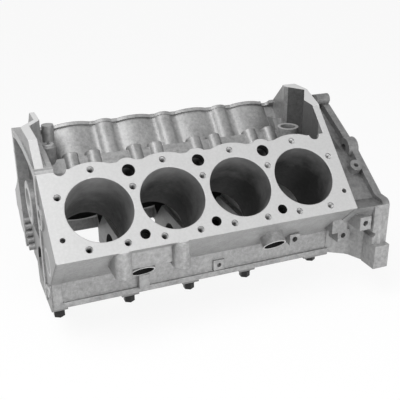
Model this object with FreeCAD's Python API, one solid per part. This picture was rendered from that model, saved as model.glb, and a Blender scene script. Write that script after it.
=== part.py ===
import FreeCAD, Part
import math
import os

V = FreeCAD.Vector

# V8 cylinder block in cast iron, with its five main bearing caps and their bolts.
# Millimetres. X runs to the rear (flywheel end), Y to the right bank, Z up.
# The origin is on the crankshaft axis, in the middle of the centre main bearing.
# A place on a bank is given along the crankshaft, across the deck (towards the
# valley) and up along the bores; a place elsewhere is given as X, Y and Z.

# Cylinders and banks
cylinders_per_bank = 4
bore_diameter = 110.0
bore_spacing = 122.94
bore_length = 156.0
bore_run_out = 14.0
bore_chamfer = 0.8
bank_half_angle = 45.0
deck_height = 248.9
bank_stagger = 25.0
front_margin = 84.0
rear_margin = 81.0

# Crankshaft and camshaft tunnels
main_bore_diameter = 74.6
cam_bore_diameter = 54.0
cam_height = 130.9

# Deck and its holes; "across" is measured from the bores towards the valley
deck_outer = 77.0
deck_inner = 76.5
deck_thickness = 14.0
lip_thickness = 7.0
lip_overhang = 4.5
lip_notch_radius = 10.0
lip_notch_from_bore = 48.6
head_bolt_diameter = 11.6
head_bolt_depth = 48.0
upper_bolt_across = 70.2
middle_bolt_across = 30.4
lower_bolt_across = -62.4
lower_bolt_half_pitch = 31.0
dowel_diameter = 8.6
dowel_depth = 16.0
dowel_across = -40.3
dowel_from_bore = 67.5
upper_water_diameter = 22.0
upper_water_across = 59.6
lower_water_diameter = 17.0
lower_water_across = -53.5

# Outer side of a bank and the skirt below it
side_wall = 75.0
side_column_radius = 14.5
side_column_face = 233.0
side_column_foot = 72.0
side_column_from_bore = (21.0, -3.0)
side_web_face = 215.0
side_web_bottom = 80.0
side_web_root = 60.0
corner_post_length = 16.0
corner_post_reach = 4.0
skirt_half_width = 147.0
skirt_wall = 14.0
pan_rail_half_width = 151.0
pan_rail_top = 5.0
pan_rail_bottom = -5.0
core_plug_diameter = 38.0
core_plug_height = 176.0
core_plug_seat = 16.0
core_boss_radius = 21.5
core_boss_reach = 93.5
core_boss_root = 65.0
core_passage_diameter = 30.0

# Valley side of a bank
wall_base = 62.0
barrel_radius = 79.0
water_column_radius = 22.0
wall_fillet = 14.0
valley_floor = 168.0
lifter_web = 100.0
lifter_web_height = 166.0
lifter_bore_diameter = 21.4
lifter_boss_radius = 15.0
lifter_boss_top = 80.7
lifter_from_bore = 21.0

# Water jacket
jacket_floor = 119.0
jacket_radius = 72.0
jacket_side = 66.0
jacket_end_wall = 10.0
cylinder_wall = 7.5
bolt_web_radius = 11.5
casting_wall = 8.0

# Crankcase
bulkhead_thickness = 22.0
bay_height = 100.0
bay_side = 60.0
bay_inner = 62.0
bay_roof = 148.0
saddle_height = 58.0
saddle_side_height = 46.0

# End walls of the valley
end_rail_height = 272.0
rear_wall_thickness = 13.0
front_wall_thickness = 12.0

# Bell housing flange at the rear
flange_face = 323.0
flange_thickness = 14.0
flange_half_width = 229.5
flange_corner_height = 126.0
flange_corner_radius = 12.0
flange_shoulder = 26.0
flange_shoulder_front = 292.0
foot_height = 41.0
foot_half_width = 241.0
foot_inner = 204.0
flange_boss_radius = 20.0
flange_boss_place = (101.0, 186.0)
flange_boss_front = 302.0
top_boss_radius = 11.0
top_boss_height = 256.5
top_boss_front = 288.0
bell_bolt_diameter = 10.0
bell_bolt_depth = 18.0
bell_bolt_side = 214.0
bell_bolt_heights = (6.0, 96.0)
neck_height = 220.0
bell_wall_start = 262.0
crank_boss_radius = 64.0
crank_boss_end = 300.0
cam_boss_radius = 38.0
cam_boss_end = 303.0
lug_place = (297.0, 130.0, 138.0)
lug_radius = 12.0
lug_length = 40.0
lug_hole_diameter = 9.0
lug_hole_depth = 14.0
flange_pocket_place = (104.0, 160.0)
flange_pocket_diameter = 18.0

# Distributor bore behind the valley
distributor_x = 236.0
distributor_boss_diameter = 42.0
distributor_boss_top = 209.0
distributor_bore_diameter = 30.0

# Rear end: where the sides flare out (share of the run, share of the widening), the neck over
# them and the roof lines of the hollow inside, left half from the outside in
flare_steps = ((0.0, 0.0), (0.28, 0.11), (0.52, 0.30), (0.74, 0.66), (0.88, 1.0), (1.0, 1.02))
flare_knee = 42.0
flare_top = 119.0
flare_root = 110.0
shoulder_top = 118.0
shoulder_step = 6.0
neck_inner = 60.0
neck_middle = 214.0
neck_end_foot = 190.0
neck_end = [(-194.0, 42.0), (-206.0, 112.0), (-112.0, 176.0), (0.0, 238.0)]
lug_direction = (0.588, 0.809)
bell_deep_roof = [(-128.0, 18.0), (-44.0, 102.0), (0.0, 118.0)]
bell_inner_roof = [(-150.0, 56.0), (-112.0, 112.0), (0.0, 176.0)]
bell_mouth_roof = [(-198.0, 50.0), (-190.0, 96.0), (0.0, 214.0)]

# Front end
timing_face = -286.0
timing_half_width = 124.0
timing_shoulder = 234.0
timing_top = 243.0
timing_top_half_width = 66.0
timing_rim = 14.0
timing_floor = -264.0
timing_boss_face = -284.0
front_cam_boss_radius = 40.0
pump_pad_height = 46.0
port_pad_radius = 21.0
port_diameter = 26.0
port_place = (132.0, 158.0)
oil_pad_radius = 12.0
oil_hole_diameter = 10.0
oil_pad_place = (134.0, 24.0)
front_pad_height = 5.0
front_hole_depth = 24.0

# Two upright bosses at the front of the valley: place, radius and top
vent_column = (-228.0, 66.0, 11.0, 250.0)
sender_boss = (-233.0, 52.0, 13.5, 213.0)
sender_hole_diameter = 12.0
sender_hole_depth = 30.0

# Pads on the sides: position, height, width, height of the pad, how far out its face is.
mount_pad = (164.5, 49.0, 21.0, 21.0, 170.0)
starter_pad = (262.0, 43.5, 24.0, 24.0, 182.0)
starter_rib = (249.5, 75.0, 33.0, 42.0, 187.0)
clutch_pad = (277.0, 85.0, 24.0, 26.0, 226.0)
knock_pad = (20.0, 17.0, 22.0, 20.0, 152.0)
drain_pad = (-123.5, 18.0, 19.0, 27.0, 158.0)
pad_root = 132.0
pad_hole_diameter = 10.5
pad_hole_depth = 25.0
knock_hole_depth = 8.0
dowel_hole_depth = 29.0
dowel_hole_place = (292.0, 60.0)

# Main bearing caps
cap_width = 204.0
cap_side_clearance = 0.05
cap_thickness = 34.0
cap_depth = 66.0
cap_shoulder = 64.0
cap_ear_depth = 22.0
cap_chamfer = 8.0
front_cap_thickness = 30.0
front_cap_shift = -12.0
rear_cap_thickness = 54.0
rear_cap_shift = 10.0
rear_cap_depth = 60.0
rear_cap_shoulder = 34.0
rear_cap_ear_depth = 40.0

# Cap bolts
inner_bolt_offset = 48.0
outer_bolt_offset = 80.0
cap_bolt_diameter = 12.7
cap_bolt_clearance = 0.4
inner_bolt_reach = 36.0
outer_bolt_reach = 22.0
tapped_spare = 6.0
hex_across_flats = 19.0
hex_height = 12.5
bolt_flange_diameter = 24.0
bolt_flange_thickness = 3.0

SIN = math.sin(math.radians(bank_half_angle))
COS = math.cos(math.radians(bank_half_angle))
LEFT = -1
RIGHT = 1
SIDES = (LEFT, RIGHT)
UP = V(0, 0, 1)
far = 400.0

middle = (cylinders_per_bank - 1) / 2.0
main_x = [(i - cylinders_per_bank / 2.0) * bore_spacing for i in range(cylinders_per_bank + 1)]
cap_x = [main_x[0] + front_cap_shift] + main_x[1:-1] + [main_x[-1] + rear_cap_shift]
cap_bolts = ((inner_bolt_offset, inner_bolt_reach), (outer_bolt_offset, outer_bolt_reach))
flange_front = flange_face - flange_thickness


# Places and simple solids

def bore_x(side):
    """Positions of one bank's bores along the crankshaft."""
    shift = side * bank_stagger / 2.0
    return [(i - middle) * bore_spacing + shift for i in range(cylinders_per_bank)]


def between_bores(side):
    """Positions of the water passages, halfway between neighbouring bores."""
    xs = bore_x(side)
    return [(a + b) / 2.0 for a, b in zip(xs[:-1], xs[1:])]


def bank_ends(side):
    """Front and rear end of one bank."""
    xs = bore_x(side)
    return xs[0] - front_margin, xs[-1] + rear_margin


def yz(side, across, height):
    """A point of a bank's section, from its place across the deck and up the bores."""
    return (side * (height * SIN - across * COS), height * COS + across * SIN)


def bank_point(side, x, across, height):
    """A point of a bank in space."""
    y, z = yz(side, across, height)
    return V(x, y, z)


def up(side):
    """Direction of a bank's bores, away from the crankshaft."""
    return V(0, side * SIN, COS)


def outward(side):
    """Direction across a bank's deck, away from the valley."""
    return V(0, side * COS, -SIN)


def mirrored(points):
    """A closed outline from its left half, listed from the bottom to the top."""
    return points + [(-y, z) for y, z in reversed(points) if y != 0]


def closed(corners):
    return Part.makePolygon(corners + [corners[0]])


def prism(points, x0, x1):
    """A solid along the crankshaft, from a section in Y and Z."""
    face = Part.Face(closed([V(x0, y, z) for y, z in points]))
    return face.extrude(V(x1 - x0, 0, 0))


def slab(points, z0, z1):
    """An upright solid, from an outline in X and Y."""
    face = Part.Face(closed([V(x, y, z0) for x, y in points]))
    return face.extrude(V(0, 0, z1 - z0))


def loft(sections, ruled=True):
    """A solid along the crankshaft through several sections, each with its position."""
    wires = [closed([V(x, y, z) for y, z in points]) for x, points in sections]
    return Part.makeLoft(wires, True, ruled)


def bank_prism(side, across0, across1, height0, height1, x0, x1):
    """A straight bar along a bank, between two distances across it and two heights."""
    corners = [(across0, height0), (across1, height0), (across1, height1), (across0, height1)]
    return prism([yz(side, a, h) for a, h in corners], x0, x1)


def bank_cylinder(side, x, across, height0, height1, radius):
    """A round bar or hole along the bores of a bank."""
    start = bank_point(side, x, across, height0)
    return Part.makeCylinder(radius, height1 - height0, start, up(side))


def along_x(x0, x1, y, z, radius):
    """A round bar or hole along the crankshaft."""
    return Part.makeCylinder(radius, x1 - x0, V(x0, y, z), V(1, 0, 0))


def upright(x, y, radius, low, top):
    """An upright round bar or hole."""
    return Part.makeCylinder(radius, top - low, V(x, y, low), UP)


# Outside of the banks

def head_bolts(side):
    """The head bolts of a deck: position along it and across it."""
    xs = bore_x(side)
    half = bore_spacing / 2.0
    middle_row = [xs[0] - half] + between_bores(side) + [xs[-1] + half]
    places = [(x, upper_bolt_across) for x in xs]
    places += [(x, middle_bolt_across) for x in middle_row]
    for x in xs:
        places += [(x - lower_bolt_half_pitch, lower_bolt_across)]
        places += [(x + lower_bolt_half_pitch, lower_bolt_across)]
    return places


def half_section(side):
    """Section of one half of the block: bank, skirt, pan rail and half of the valley."""
    crease = (skirt_half_width - side_wall * COS) / SIN
    web_foot = (valley_floor - lifter_web * SIN) / COS
    return [
        yz(side, -side_wall, deck_height),
        yz(side, -side_wall, crease),
        (side * skirt_half_width, pan_rail_top),
        (side * pan_rail_half_width, pan_rail_top),
        (side * pan_rail_half_width, pan_rail_bottom),
        (0, pan_rail_bottom),
        (0, valley_floor),
        yz(side, lifter_web, web_foot),
        yz(side, lifter_web, lifter_web_height),
        yz(side, wall_base, lifter_web_height),
        yz(side, wall_base, deck_height),
    ]


def toward(p, q, length):
    """The point at a given distance from p on the line to q."""
    d = math.hypot(q[0] - p[0], q[1] - p[1])
    return (p[0] + (q[0] - p[0]) * length / d, p[1] + (q[1] - p[1]) * length / d)


def fillet_centre(x_barrel, x_column, barrel, column):
    """Centre of the fillet that touches a barrel and the water column beside it."""
    run = x_column - x_barrel
    gap = math.hypot(run, upper_water_across)
    a = barrel + wall_fillet
    b = column + wall_fillet
    along = (gap * gap + a * a - b * b) / (2.0 * gap)
    off = math.copysign(math.sqrt(a * a - along * along), run)
    ux = run / gap
    uv = upper_water_across / gap
    return x_barrel + along * ux - off * uv, along * uv + off * ux


def wavy_wall(side, barrel, column, low, high):
    """Barrels round the cylinders and columns at the water passages, blended into one wall."""
    front, rear = bank_ends(side)
    xs = bore_x(side)
    rounds = []
    for i, x in enumerate(xs):
        if i > 0:
            rounds.append((between_bores(side)[i - 1], upper_water_across, column))
        rounds.append((x, 0.0, barrel))

    def at(p):
        return bank_point(side, p[0], p[1], low)

    first = (xs[0] - barrel, 0.0)
    last = first
    edges = []
    for here, after in zip(rounds, rounds[1:] + [None]):
        x, across, radius = here
        crest = (x, across + radius)
        if after is None:
            leave = (x + radius, across)
            edges.append(Part.Arc(at(last), at(crest), at(leave)).toShape())
            last = leave
            continue
        ends = (x, after[0]) if across == 0.0 else (after[0], x)
        centre = fillet_centre(ends[0], ends[1], barrel, column)
        leave = toward((x, across), centre, radius)
        join = toward((after[0], after[1]), centre, after[2])
        halfway = ((leave[0] + join[0]) / 2.0, (leave[1] + join[1]) / 2.0)
        dip = toward(centre, halfway, wall_fillet)
        edges.append(Part.Arc(at(last), at(crest), at(leave)).toShape())
        edges.append(Part.Arc(at(leave), at(dip), at(join)).toShape())
        last = join
    edges.append(Part.makeLine(at(last), at(first)))
    wall = Part.Face(Part.Wire(edges)).extrude(up(side) * (high - low))
    return wall.common(bank_prism(side, 20.0, 110.0, low, high, front, rear))


def side_columns(side):
    """Two upright columns below the edge of the deck at the first two bores, with a web."""
    xs = bore_x(side)
    places = [x + shift for x, shift in zip(xs, side_column_from_bore)]
    r = side_column_radius
    top = deck_height * COS
    low = side_column_foot
    solids = []
    for x in places:
        y = side * (side_column_face - r)
        solids.append(upright(x, y, r, low, top))
        plan = [(x - r, y), (x + r, y), (x + r, side * skirt_half_width), (x - r, side * skirt_half_width)]
        solids.append(slab(plan, low, top))
    web = [
        (side * side_web_face, top), (side * side_web_face, side_web_bottom),
        (side * skirt_half_width, side_web_root), (side * skirt_half_width, top),
    ]
    solids.append(prism(web, places[0], places[1]))
    front, rear = bank_ends(side)
    under_deck = bank_prism(side, -far, 0, 0, deck_height, front, rear)
    return [solids[0].multiFuse(solids[1:]).common(under_deck)]


def bank_body(side):
    """The outside of one bank: deck, valley wall, lifter bosses, bolt columns and corner post."""
    front, rear = bank_ends(side)
    xs = bore_x(side)
    gaps = between_bores(side)
    lip = deck_height - lip_thickness
    pieces = [prism(half_section(side), front, rear)]
    pieces.append(bank_prism(side, -deck_outer, deck_inner, lip, deck_height, front, rear))
    wall_low = lifter_web_height - 6.0
    pieces.append(wavy_wall(side, barrel_radius, water_column_radius, wall_low, lip + 1.0))
    wide = barrel_radius + lip_overhang
    pieces.append(wavy_wall(side, wide, water_column_radius + 1.0, lip, deck_height))

    for x in xs:
        for dx in (-lifter_from_bore, lifter_from_bore):
            foot = V(x + dx, 0, cam_height)
            pieces.append(Part.makeCylinder(lifter_boss_radius, lifter_boss_top, foot, up(side)))

    pieces += side_columns(side)

    # Raised rings round the core plug holes, between the first and the last two bores.
    for x in (gaps[0], gaps[-1]):
        root = bank_point(side, x, -core_boss_root, core_plug_height)
        reach = core_boss_reach - core_boss_root
        pieces.append(Part.makeCylinder(core_boss_radius, reach, root, outward(side)))

    reach = skirt_half_width + corner_post_reach
    post = [
        yz(side, -deck_outer, deck_height),
        yz(side, -deck_outer, (reach - deck_outer * COS) / SIN),
        (side * reach, pan_rail_bottom),
        (side * (reach - 40.0), pan_rail_bottom),
        yz(side, 0, deck_height),
    ]
    pieces.append(prism(post, front, front + corner_post_length))
    return pieces


def lip_notches(side):
    """Small round notches in the valley edge of the deck, outside the end bores."""
    xs = bore_x(side)
    low = deck_height - lip_thickness - 1.0
    across = deck_inner
    notches = []
    for x in (xs[0] - lip_notch_from_bore, xs[-1] + lip_notch_from_bore):
        notches.append(bank_cylinder(side, x, across, low, deck_height + 1, lip_notch_radius))
    return notches


# Inside of the banks

def water_jacket(side):
    """The space for coolant round the cylinders of a bank, with its openings."""
    xs = bore_x(side)
    gaps = between_bores(side)
    low = jacket_floor
    top = deck_height - deck_thickness
    front, rear = bank_ends(side)
    space = [bank_prism(side, -jacket_side, 0, low, top, front, rear)]
    space += [bank_cylinder(side, x, 0, low, top, jacket_radius) for x in xs]
    for x in gaps:
        radius = water_column_radius - casting_wall
        space.append(bank_cylinder(side, x, upper_water_across, low, top, radius))
    ends = (front + jacket_end_wall, rear - jacket_end_wall)
    reach = bank_prism(side, -jacket_side, far / 4.0, low, top, ends[0], ends[1])
    space = space[0].multiFuse(space[1:]).common(reach)
    wall = bore_diameter / 2.0 + cylinder_wall
    keep = [bank_cylinder(side, x, 0, low - 1, top + 1, wall) for x in xs]
    for x, across in head_bolts(side):
        keep.append(bank_cylinder(side, x, across, low - 1, top + 1, bolt_web_radius))
    openings = [space.cut(keep)]
    for x in gaps:
        for across, diameter in (
            (upper_water_across, upper_water_diameter),
            (lower_water_across, lower_water_diameter),
        ):
            openings.append(bank_cylinder(side, x, across, top - 4, deck_height + 1, diameter / 2.0))
    for x in (gaps[0], gaps[-1]):
        start = bank_point(side, x, -jacket_side + 1.0, core_plug_height)
        reach = core_boss_reach - jacket_side
        openings.append(Part.makeCylinder(core_passage_diameter / 2.0, reach, start, outward(side)))
        start = bank_point(side, x, -core_boss_reach + core_plug_seat, core_plug_height)
        openings.append(Part.makeCylinder(core_plug_diameter / 2.0, far, start, outward(side)))
    return openings


def bank_holes(side):
    """Everything drilled or bored into one bank."""
    holes = []
    xs = bore_x(side)
    radius = bore_diameter / 2.0
    for x in xs:
        low = deck_height - bore_length - bore_run_out
        holes.append(bank_cylinder(side, x, 0, low, deck_height + 1, radius))
        start = bank_point(side, x, 0, deck_height - bore_chamfer)
        holes.append(Part.makeCone(radius, radius + bore_chamfer, bore_chamfer, start, up(side)))
        for dx in (-lifter_from_bore, lifter_from_bore):
            foot = V(x + dx, 0, cam_height)
            length = lifter_boss_top + 6.0
            holes.append(Part.makeCylinder(lifter_bore_diameter / 2.0, length, foot, up(side)))
    low = deck_height - head_bolt_depth
    for x, across in head_bolts(side):
        hole = bank_cylinder(side, x, across, low, deck_height + 1, head_bolt_diameter / 2.0)
        holes.append(hole)
    low = deck_height - dowel_depth
    for x in (xs[0] - dowel_from_bore, xs[-1] + dowel_from_bore):
        hole = bank_cylinder(side, x, dowel_across, low, deck_height + 1, dowel_diameter / 2.0)
        holes.append(hole)
    return holes


# Crankcase

def crankcase_bays():
    """The open spaces below the cylinders, between the main bulkheads."""
    inner = skirt_half_width - skirt_wall
    elbow = yz(LEFT, bay_inner, bay_height)
    section = mirrored([
        (-inner, pan_rail_bottom - 1.0),
        (-inner, 30.0),
        yz(LEFT, -bay_side, bay_height),
        elbow,
        (elbow[0], bay_roof - 8.0),
        (0.0, bay_roof),
    ])
    half = bulkhead_thickness / 2.0
    return [prism(section, a + half, b - half) for a, b in zip(main_x[:-1], main_x[1:])]


def saddles():
    """Thicker lower ends of the bulkheads, where the bearing caps bolt on."""
    w = cap_width / 2.0
    section = mirrored([
        (-w, 0.0),
        (-w, saddle_side_height),
        (-cap_shoulder, saddle_height),
        (0.0, saddle_height),
    ])
    half = cap_thickness / 2.0
    pieces = [prism(section, x - half, x + half) for x in main_x[1:-1]]
    front = cap_x[0] - front_cap_thickness / 2.0
    rear = cap_x[-1] + rear_cap_thickness / 2.0
    pieces.append(prism(section, front, main_x[0]))
    pieces.append(prism(section, main_x[-1], rear))
    return pieces


def cap_cuts():
    """The registers that locate the caps, and the tapped holes above them."""
    cuts = []
    register = Part.makeBox(2.0 * far, cap_width, far, V(-far, -cap_width / 2.0, -far))
    cuts.append(register)
    for x in cap_x:
        for y, reach in cap_bolts:
            for side in SIDES:
                cuts.append(upright(x, side * y, cap_bolt_diameter / 2.0, -1.0, reach + tapped_spare))
    return cuts


# End walls of the valley

def envelope():
    """Outline of the end walls seen along the crankshaft: both decks and the flat rail."""
    rail_half_width = (deck_height - end_rail_height * COS) / SIN
    return mirrored([
        (-skirt_half_width, pan_rail_bottom),
        (-skirt_half_width, skirt_half_width - side_wall / SIN),
        yz(LEFT, -side_wall, deck_height),
        (-rail_half_width, end_rail_height),
    ])


def front_wall():
    """The wall at the front of the valley, stepped back on the right bank."""
    left = bank_ends(LEFT)[0]
    right = bank_ends(RIGHT)[0]
    t = front_wall_thickness
    plan = [
        (left, -far), (left + t, -far), (left + t, -2.0), (right + t - 3.0, 27.0),
        (right + t - 3.0, far), (right, far), (right, 32.0), (left + 5.0, 8.0), (left - 3.0, -4.0),
    ]
    wall = slab(plan, pan_rail_bottom, end_rail_height)
    return wall.common(prism(envelope(), left - 20.0, right + 40.0))


def rear_wall():
    """The wall at the rear of the valley, with room for the distributor in front of it."""
    left = bank_ends(LEFT)[1]
    right = bank_ends(RIGHT)[1]
    t = rear_wall_thickness
    plan = [
        (left - t, -far), (left - t, -83.0), (left - 8.0, -41.0), (left + 33.0, 28.0),
        (right - 16.0, 68.0), (right - t + 1.0, 84.0), (right - t + 1.0, far), (right, far),
        (right, 100.0), (right + 15.0, 78.0), (right + 15.0, 30.0), (left, -84.0), (left, -far),
    ]
    wall = slab(plan, pan_rail_bottom, end_rail_height)
    return wall.common(prism(envelope(), left - 40.0, right + 40.0))


def distributor_pocket():
    """The clear space of the valley's rear corner, in front of the rear wall."""
    left = bank_ends(LEFT)[1]
    right = bank_ends(RIGHT)[1]
    t = rear_wall_thickness
    plan = [
        (left - t - 4.0, -90.0), (left - t, -83.0), (left - 8.0, -41.0), (left + 33.0, 28.0),
        (right - 16.0, 68.0), (right - t, 84.0), (left - t - 4.0, 90.0),
    ]
    reach = barrel_radius + lip_overhang
    foot = reach / SIN - valley_floor
    rise = far - valley_floor
    section = mirrored([(foot, valley_floor), (foot - rise, far), (0.0, far)])
    return slab(plan, valley_floor, far).common(prism(section, left - 40.0, right + 40.0))


# Bell housing end

def flange_outline():
    """Outline of the bell housing flange."""
    w = flange_half_width
    r = flange_corner_radius
    y, z = flange_boss_place
    return mirrored([
        (-w, pan_rail_bottom),
        (-w, flange_corner_height - r),
        (-w + r, flange_corner_height),
        (-2.0 * y, flange_corner_height + 1.0),
        (-y - 19.0, z),
        (-y + 9.0, z + 15.0),
        (-top_boss_radius, top_boss_height - 10.0),
        (0.0, top_boss_height - 7.0),
    ])


def flare(side):
    """One side of the casting, sweeping out from the bank's width to the flange's."""
    start = bank_ends(LEFT)[1] - 1.0
    run = flange_front - start
    w = flange_half_width
    low = skirt_half_width + 2.0
    top = w - 2.0
    sections = []
    for share, spread in flare_steps:
        y_low = low + (w - low) * spread
        y_top = top + (w - top) * share
        corners = [
            (side * y_low, pan_rail_bottom), (side * (y_low + 1.0), flare_knee), (side * y_top, flare_top),
            (side * flare_root, flare_top), (side * flare_root, pan_rail_bottom),
        ]
        sections.append((start + run * share, corners))
    return loft(sections)


def bell_housing():
    """The rear end: sides flaring out to the flange, the flange, its feet and its bosses."""
    w = flange_half_width
    r = flange_corner_radius
    pieces = [prism(flange_outline(), flange_front, flange_face)]
    for side in SIDES:
        pieces.append(flare(side))
        corner_y = side * (w - r)
        corner_z = flange_corner_height - r
        pieces.append(along_x(flange_front, flange_face, corner_y, corner_z, r))
        shoulder = [
            (side * w, flange_corner_height - r), (side * w, pan_rail_bottom),
            (side * (w - flange_shoulder), pan_rail_bottom), (side * (w - flange_shoulder), shoulder_top),
            (side * (w - shoulder_step), shoulder_top),
        ]
        pieces.append(prism(shoulder, flange_shoulder_front, flange_front + 1.0))
        foot = [
            (side * foot_half_width, foot_height), (side * foot_half_width, pan_rail_bottom),
            (side * foot_inner, pan_rail_bottom), (side * foot_inner, foot_height),
        ]
        pieces.append(prism(foot, flange_shoulder_front, flange_face))
        y, z = flange_boss_place
        pieces.append(along_x(flange_boss_front, flange_face, side * y, z, flange_boss_radius))
        start = V(lug_place[0], side * lug_place[1], lug_place[2])
        pieces.append(Part.makeCylinder(lug_radius, lug_length, start, lug_axis(side)))
    pieces.append(along_x(top_boss_front, flange_face, 0, top_boss_height, top_boss_radius))

    # The neck joins the rear of the banks to the flange, below the level of the decks.
    neck = mirrored([
        (-skirt_half_width, pan_rail_bottom), (-skirt_half_width - 3.0, flare_knee),
        yz(LEFT, -side_wall + 5.0, neck_height), yz(LEFT, neck_inner, neck_height), (0.0, neck_middle),
    ])
    end = mirrored([(-neck_end_foot, pan_rail_bottom)] + neck_end)
    pieces.append(loft([(bank_ends(LEFT)[1] - 7.0, neck), (flange_front + 1.0, end)]))
    return pieces


def lug_axis(side):
    """The lug stands square on the sloping edge of the flange."""
    return V(0, side * lug_direction[0], lug_direction[1])


def bell_cavity():
    """The hollow of the rear end, open to the bell housing and downwards."""
    low = pan_rail_bottom - 4.0
    deep, inner, mouth = (
        mirrored([(roof[0][0], low)] + roof) for roof in (bell_deep_roof, bell_inner_roof, bell_mouth_roof)
    )
    back = flange_face + 1.0
    wide = loft([(bank_ends(RIGHT)[1] + 8.0, inner), (flange_front, mouth), (back, mouth)])
    return [prism(deep, bell_wall_start, back), wide]


def bell_bosses():
    """Rings round the crankshaft and the camshaft at the rear, inside the bell housing."""
    start = main_x[-1]
    above = Part.makeBox(far, far, far, V(start, -far / 2.0, pan_rail_bottom))
    crank = along_x(start, crank_boss_end, 0, 0, crank_boss_radius).common(above)
    return [crank, along_x(start, cam_boss_end, 0, cam_height, cam_boss_radius)]


def bell_holes():
    """Tapped holes of the flange, and the holes of its lugs."""
    places = [(0.0, top_boss_height)]
    for side in SIDES:
        places.append((side * flange_boss_place[0], flange_boss_place[1]))
        places += [(side * bell_bolt_side, z) for z in bell_bolt_heights]
    start = flange_face - bell_bolt_depth
    holes = [along_x(start, flange_face + 1.0, y, z, bell_bolt_diameter / 2.0) for y, z in places]
    radius = bell_bolt_diameter / 2.0
    holes.append(along_x(top_boss_front - 1.0, flange_face + 1.0, 0, top_boss_height, radius))
    for side in SIDES:
        y, z = flange_boss_place
        holes.append(along_x(flange_boss_front - 1.0, flange_boss_front + 9.0, side * y, z, radius + 3.0))
        y, z = flange_pocket_place
        pocket = along_x(flange_front - 30.0, flange_front + 8.0, side * y, z, flange_pocket_diameter / 2.0)
        holes.append(pocket)
        tip = V(lug_place[0], side * lug_place[1], lug_place[2]) + lug_axis(side) * (lug_length + 1.0)
        depth = lug_hole_depth + 1.0
        holes.append(Part.makeCylinder(lug_hole_diameter / 2.0, depth, tip, lug_axis(side) * -1))
    return holes


# Front end

def timing_outline(inset):
    """Outline of the timing cover's seat on the front, or of the hollow inside it."""
    w = timing_half_width - inset
    bottom = pan_rail_bottom - (1.0 if inset else 0.0)
    return mirrored([
        (-w + 10.0, bottom), (-w + 5.0, 60.0), (-w, 120.0), (-w, timing_shoulder - inset),
        (-timing_top_half_width, timing_top - inset), (0.0, timing_top + 3.0 - inset),
    ])


def front_end():
    """Pieces added on the front face: timing cover seat, pump pad, ports and their pads."""
    back = bank_ends(RIGHT)[0] + 1.0
    pieces = [prism(timing_outline(0.0), timing_face, back)]
    pump = [
        (96.0, 10.0), (152.0, 20.0), (174.0, pump_pad_height), (190.0, pump_pad_height + 4.0),
        (190.0, 84.0), (168.0, 98.0), (110.0, 140.0),
    ]
    pieces.append(prism(pump, timing_face, back + 4.0))
    for side in SIDES:
        front = bank_ends(side)[0]
        for place, radius in ((port_place, port_pad_radius), (oil_pad_place, oil_pad_radius)):
            pieces.append(along_x(front - front_pad_height, front + 5.0, side * place[0], place[1], radius))
    return pieces


def timing_hollow():
    """The hollow inside the timing cover's seat, round the two shaft bosses."""
    hollow = prism(timing_outline(timing_rim), timing_face - 1.0, timing_floor)
    cam = along_x(timing_boss_face, timing_floor + 1.0, 0, cam_height, front_cam_boss_radius)
    return hollow.cut(cam)


def front_holes():
    holes = []
    for side in SIDES:
        front = bank_ends(side)[0] - front_pad_height - 1.0
        for place, diameter, depth in (
            (port_place, port_diameter, front_hole_depth),
            (oil_pad_place, oil_hole_diameter, front_hole_depth),
        ):
            holes.append(along_x(front, front + depth, side * place[0], place[1], diameter / 2.0))
    x, y, radius, top = sender_boss
    start = V(x, y, top - sender_hole_depth)
    holes.append(Part.makeCylinder(sender_hole_diameter / 2.0, sender_hole_depth + 1.0, start, UP))
    return holes


# Sides

def pads_of(side):
    """The pads of one side; the mount pad stays clear of the core plug beside it."""
    x, z, width, height, face = mount_pad
    shift = bank_stagger if side == RIGHT else 0.0
    moved = (x + shift, z, width, height, face)
    return [moved, starter_pad, clutch_pad, starter_rib, knock_pad, drain_pad]


def side_pads(side):
    """Squarish pads on the outside of the skirt, for the engine mount and the starter."""
    pads = []
    for x, z, width, height, face in pads_of(side):
        low = min(side * face, side * pad_root)
        corner = V(x - width / 2.0, low, z - height / 2.0)
        pads.append(Part.makeBox(width, face - pad_root, height, corner))
    return pads


def side_holes(side):
    """Tapped holes in the pads, and the dowel hole beside the clutch pad."""
    inward = V(0, -side, 0)
    radius = pad_hole_diameter / 2.0
    holes = []
    for x, z, width, height, face in pads_of(side)[:3]:
        start = V(x, side * (face + 1.0), z)
        holes.append(Part.makeCylinder(radius, pad_hole_depth + 1.0, start, inward))
    x, z = dowel_hole_place
    start = V(x, side * (flange_half_width + 1.0), z)
    holes.append(Part.makeCylinder(radius, dowel_hole_depth + 1.0, start, inward))
    x, z, width, height, face = knock_pad
    start = V(x, side * (face + 1.0), z)
    holes.append(Part.makeCylinder(radius - 1.0, knock_hole_depth + 1.0, start, inward))
    return holes


# The casting

def cylinder_block():
    solids = bank_body(LEFT) + bank_body(RIGHT) + [front_wall(), rear_wall()]
    solids += bell_housing() + front_end()
    low = valley_floor - 8.0
    solids.append(upright(vent_column[0], vent_column[1], vent_column[2], low, vent_column[3]))
    solids.append(upright(sender_boss[0], sender_boss[1], sender_boss[2], low, sender_boss[3]))
    for side in SIDES:
        solids += side_pads(side)
    block = solids[0].multiFuse(solids[1:])

    hollows = crankcase_bays() + bell_cavity() + [timing_hollow(), distributor_pocket()]
    hollows += lip_notches(LEFT) + lip_notches(RIGHT)
    block = block.cut(hollows)
    boss = upright(distributor_x, 0, distributor_boss_diameter / 2.0, low, distributor_boss_top)
    block = block.multiFuse(bell_bosses() + saddles() + [boss])

    cuts = cap_cuts() + bell_holes() + front_holes()
    for side in SIDES:
        cuts += water_jacket(side) + bank_holes(side) + side_holes(side)
    cuts.append(along_x(-far, far, 0, 0, main_bore_diameter / 2.0))
    cuts.append(along_x(-far, far, 0, cam_height, cam_bore_diameter / 2.0))
    top = distributor_boss_top + 1.0
    cuts.append(upright(distributor_x, 0, distributor_bore_diameter / 2.0, cam_height, top))
    return block.cut(cuts)


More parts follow.
